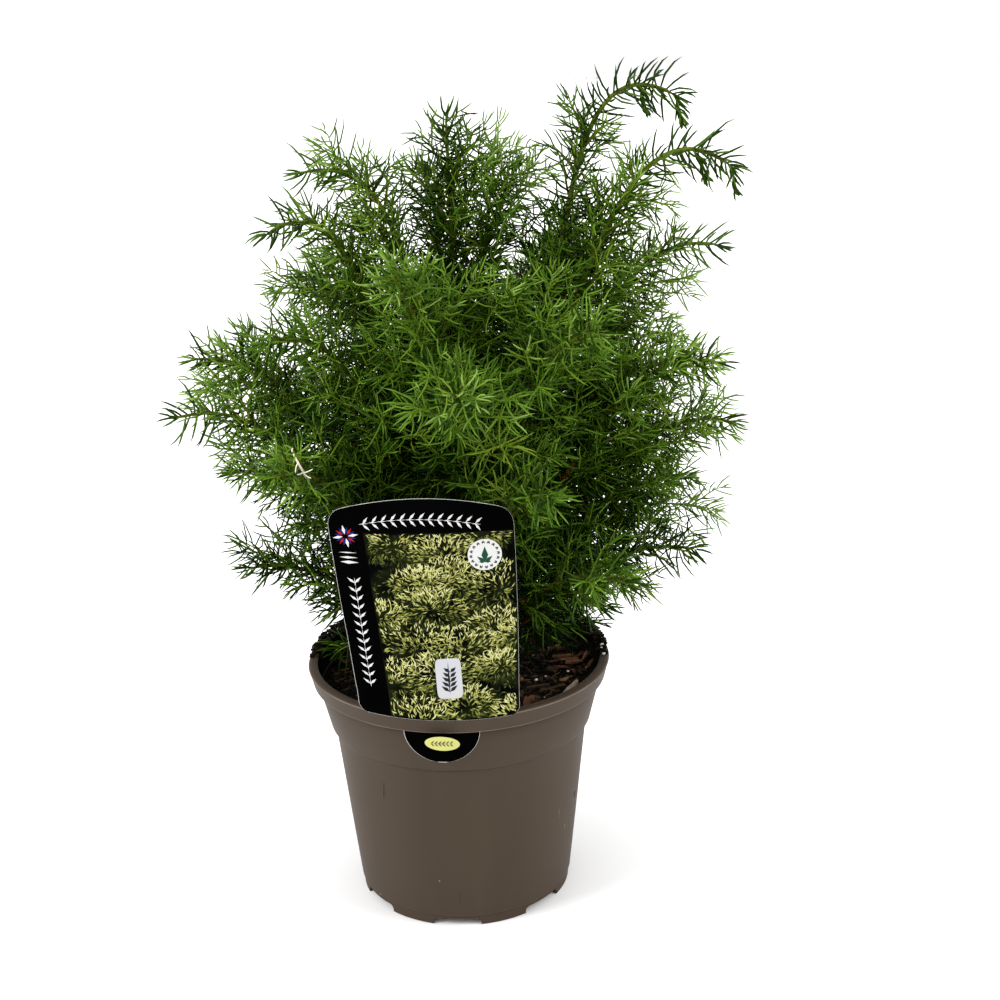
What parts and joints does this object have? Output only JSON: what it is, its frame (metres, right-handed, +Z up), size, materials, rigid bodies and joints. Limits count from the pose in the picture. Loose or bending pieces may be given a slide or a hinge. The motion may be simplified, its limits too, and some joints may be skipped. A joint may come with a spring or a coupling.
{
  "type": "potted cryptomeria",
  "caption": "Young bushy cryptomeria with soft curved needles and nodding leaders, in a round nursery pot with a hooked plant label.",
  "frame": {"origin": "centre of the pot's flat underside", "axes": "+Z up, -Y towards the front with the label, +X to the right seen from the front"},
  "size_m": [0.3359, 0.3197, 0.515],
  "materials": {
    "pot_plastic": "satin moulded taupe-grey",
    "compost": "damp crumbs of dark compost and bark",
    "label_card": "glossy printed sheet",
    "bark": "thin rough red-brown bark, green towards the tips",
    "foliage": "soft satin needles in several greens"
  },
  "bodies": {
    "root": {"pot": "pot_plastic", "compost": "compost", "label": "label_card", "trunk": "bark", "foliage_leader_middle": "foliage", "bough_leader_right": "bark", "foliage_leader_right": "foliage", "bough_leader_outer": "bark", "foliage_leader_outer": "foliage", "foliage_leader_inner": "foliage", "bough_leader_left": "bark", "foliage_leader_left": "foliage", "bough_leader_wide": "bark", "foliage_leader_wide": "foliage", "bough_leader_front": "bark", "foliage_leader_front": "foliage", "foliage_leader_back": "foliage", "bough_shoulder_right": "bark", "foliage_shoulder_right": "foliage", "bough_shoulder_left": "bark", "foliage_shoulder_left": "foliage", "bough_front_high": "bark", "foliage_front_high": "foliage", "bough_front_right_high": "bark", "foliage_front_right_high": "foliage", "bough_back_right_high": "bark", "foliage_back_right_high": "foliage", "bough_back_left_high": "bark", "foliage_back_left_high": "foliage", "bough_side_right_high": "bark", "foliage_side_right_high": "foliage", "bough_side_left_high": "bark", "foliage_side_left_high": "foliage", "bough_side_right": "bark", "foliage_side_right": "foliage", "bough_side_left": "bark", "foliage_side_left": "foliage", "bough_front_right": "bark", "foliage_front_right": "foliage", "bough_front_left": "bark", "foliage_front_left": "foliage", "bough_back_right": "bark", "foliage_back_right": "foliage", "bough_back": "bark", "foliage_back": "foliage", "bough_back_left": "bark", "foliage_back_left": "foliage", "bough_middle_right": "bark", "foliage_middle_right": "foliage", "bough_middle_left": "bark", "foliage_middle_left": "foliage", "foliage_low_right": "foliage", "foliage_low_front_right": "foliage", "foliage_low_left": "foliage", "foliage_low_back_right": "foliage", "foliage_low_back_left": "foliage", "foliage_skirt_right": "foliage", "foliage_skirt_left": "foliage"}
  },
  "joints": []
}
